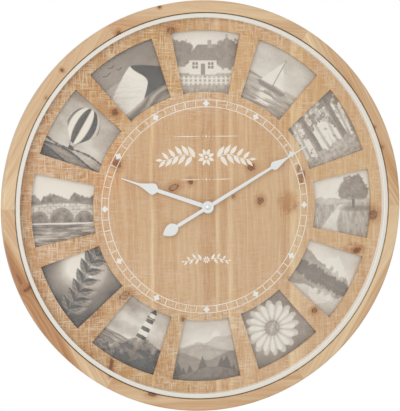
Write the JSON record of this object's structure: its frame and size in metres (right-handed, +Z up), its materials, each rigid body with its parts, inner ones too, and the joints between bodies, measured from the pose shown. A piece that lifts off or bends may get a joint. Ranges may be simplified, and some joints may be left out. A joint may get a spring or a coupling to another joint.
{
  "type": "wall clock",
  "caption": "Round wooden wall clock with a segmented rim, white accent ring, dial board with sector-shaped photo windows, white leaf hands and a quartz movement behind the dial.",
  "frame": {"origin": "where the axis of the hands meets the wall plane, at the middle of the back face of the back ring", "axes": "+Z up, the dial faces -Y, +Y runs along the axis of the hands into the wall"},
  "size_m": [0.61, 0.044, 0.61],
  "materials": {
    "fir": "satin oil",
    "plywood": "bare",
    "hardboard": "bare",
    "white_lacquer": "satin lacquer",
    "pane_glass": "clear",
    "print_paper": "matt sepia print",
    "zinc_steel": "zinc plated",
    "yellow_steel": "yellow passivated",
    "hand_white": "white lacquer",
    "case_plastic": "moulded",
    "gear_plastic": "moulded",
    "brass": "turned",
    "rubber": "matt",
    "circuit": "solder mask",
    "copper": "enamelled wire",
    "cell_jacket": "plain plastic sleeve"
  },
  "bodies": {
    "clock_body": {"rim_segment_1": "fir", "rim_segment_2": "fir", "rim_segment_3": "fir", "rim_segment_4": "fir", "rim_segment_5": "fir", "rim_segment_6": "fir", "accent_ring": "white_lacquer", "dial_board": "fir", "photo_panes": "pane_glass", "photo_prints": "print_paper", "photo_backings": "hardboard", "turn_button_screws": "zinc_steel", "back_ring": "plywood", "hanger_block": "fir", "back_ring_screws": "yellow_steel", "hanger_plate": "zinc_steel", "hanger_screws": "zinc_steel", "movement_case": "case_plastic", "movement_cover": "case_plastic", "mount_bushing": "brass", "case_gasket": "rubber", "front_washer": "brass", "bushing_nut": "brass", "circuit_board": "circuit", "coil": "copper", "stator": "zinc_steel", "battery": "cell_jacket", "contact_positive": "zinc_steel", "contact_negative": "zinc_steel"},
    "hour": {"hour_wheel": "gear_plastic", "hour_hand": "hand_white"},
    "minute": {"minute_arbor": "gear_plastic", "minute_hand": "hand_white", "hand_nut": "zinc_steel"},
    "reverser": {"reverser_wheel": "gear_plastic"},
    "setting": {"setting_knob": "gear_plastic"},
    "centre": {"centre_wheel": "gear_plastic"},
    "third": {"third_wheel": "gear_plastic"},
    "second": {"second_wheel": "gear_plastic"},
    "intermediate": {"intermediate_wheel": "gear_plastic"},
    "rotor": {"rotor": "gear_plastic"},
    "button_01": {"turn_button_01": "zinc_steel"},
    "button_02": {"turn_button_02": "zinc_steel"},
    "button_03": {"turn_button_03": "zinc_steel"},
    "button_04": {"turn_button_04": "zinc_steel"},
    "button_05": {"turn_button_05": "zinc_steel"},
    "button_06": {"turn_button_06": "zinc_steel"},
    "button_07": {"turn_button_07": "zinc_steel"},
    "button_08": {"turn_button_08": "zinc_steel"},
    "button_09": {"turn_button_09": "zinc_steel"},
    "button_10": {"turn_button_10": "zinc_steel"},
    "button_11": {"turn_button_11": "zinc_steel"},
    "button_12": {"turn_button_12": "zinc_steel"}
  },
  "joints": [
    {"name": "minute_turn", "type": "hinge", "parent": "clock_body", "child": "minute", "pos_m": [0, -0.0397, 0], "axis": [0, 1, 0], "continuous": true},
    {"name": "hour_turn", "type": "hinge", "parent": "clock_body", "child": "hour", "pos_m": [0, -0.0371, 0], "axis": [0, 1, 0], "continuous": true},
    {"name": "reverser_turn", "type": "hinge", "parent": "clock_body", "child": "reverser", "pos_m": [-0.0096, -0.016, 0], "axis": [0, 1, 0], "continuous": true},
    {"name": "setting_turn", "type": "hinge", "parent": "clock_body", "child": "setting", "pos_m": [-0.01472, -0.004, 0.00887], "axis": [0, 1, 0], "continuous": true},
    {"name": "rotor_turn", "type": "hinge", "parent": "clock_body", "child": "rotor", "pos_m": [0.00694, -0.009, 0.01879], "axis": [0, 1, 0], "continuous": true},
    {"name": "intermediate_turn", "type": "hinge", "parent": "clock_body", "child": "intermediate", "pos_m": [0.013, -0.0105, 0.01529], "axis": [0, 1, 0], "continuous": true},
    {"name": "second_turn", "type": "hinge", "parent": "clock_body", "child": "second", "pos_m": [0.013, -0.012, 0.00779], "axis": [0, 1, 0], "continuous": true},
    {"name": "third_turn", "type": "hinge", "parent": "clock_body", "child": "third", "pos_m": [0.0045, -0.0135, 0.00779], "axis": [0, 1, 0], "continuous": true},
    {"name": "centre_turn", "type": "hinge", "parent": "clock_body", "child": "centre", "pos_m": [0, -0.015, 0], "axis": [0, 1, 0], "continuous": true},
    {"name": "button_01_turn", "type": "hinge", "parent": "clock_body", "child": "button_01", "pos_m": [0.05603, -0.021, 0.20912], "axis": [0, 1, 0], "continuous": true},
    {"name": "button_02_turn", "type": "hinge", "parent": "clock_body", "child": "button_02", "pos_m": [0.15309, -0.021, 0.15309], "axis": [0, 1, 0], "continuous": true},
    {"name": "button_03_turn", "type": "hinge", "parent": "clock_body", "child": "button_03", "pos_m": [0.20912, -0.021, 0.05603], "axis": [0, 1, 0], "continuous": true},
    {"name": "button_04_turn", "type": "hinge", "parent": "clock_body", "child": "button_04", "pos_m": [0.20912, -0.021, -0.05603], "axis": [0, 1, 0], "continuous": true},
    {"name": "button_05_turn", "type": "hinge", "parent": "clock_body", "child": "button_05", "pos_m": [0.15309, -0.021, -0.15309], "axis": [0, 1, 0], "continuous": true},
    {"name": "button_06_turn", "type": "hinge", "parent": "clock_body", "child": "button_06", "pos_m": [0.05603, -0.021, -0.20912], "axis": [0, 1, 0], "continuous": true},
    {"name": "button_07_turn", "type": "hinge", "parent": "clock_body", "child": "button_07", "pos_m": [-0.05603, -0.021, -0.20912], "axis": [0, 1, 0], "continuous": true},
    {"name": "button_08_turn", "type": "hinge", "parent": "clock_body", "child": "button_08", "pos_m": [-0.15309, -0.021, -0.15309], "axis": [0, 1, 0], "continuous": true},
    {"name": "button_09_turn", "type": "hinge", "parent": "clock_body", "child": "button_09", "pos_m": [-0.20912, -0.021, -0.05603], "axis": [0, 1, 0], "continuous": true},
    {"name": "button_10_turn", "type": "hinge", "parent": "clock_body", "child": "button_10", "pos_m": [-0.20912, -0.021, 0.05603], "axis": [0, 1, 0], "continuous": true},
    {"name": "button_11_turn", "type": "hinge", "parent": "clock_body", "child": "button_11", "pos_m": [-0.15309, -0.021, 0.15309], "axis": [0, 1, 0], "continuous": true},
    {"name": "button_12_turn", "type": "hinge", "parent": "clock_body", "child": "button_12", "pos_m": [-0.05603, -0.021, 0.20912], "axis": [0, 1, 0], "continuous": true}
  ],
  "couplings": [
    {"joint": "hour_turn", "follows": "minute_turn", "ratio": 0.083333},
    {"joint": "reverser_turn", "follows": "minute_turn", "ratio": -0.25},
    {"joint": "setting_turn", "follows": "minute_turn", "ratio": 0.75},
    {"joint": "intermediate_turn", "follows": "rotor_turn", "ratio": -0.16667},
    {"joint": "second_turn", "follows": "rotor_turn", "ratio": 0.033333},
    {"joint": "third_turn", "follows": "rotor_turn", "ratio": -0.0044444},
    {"joint": "centre_turn", "follows": "rotor_turn", "ratio": 0.00055556}
  ]
}
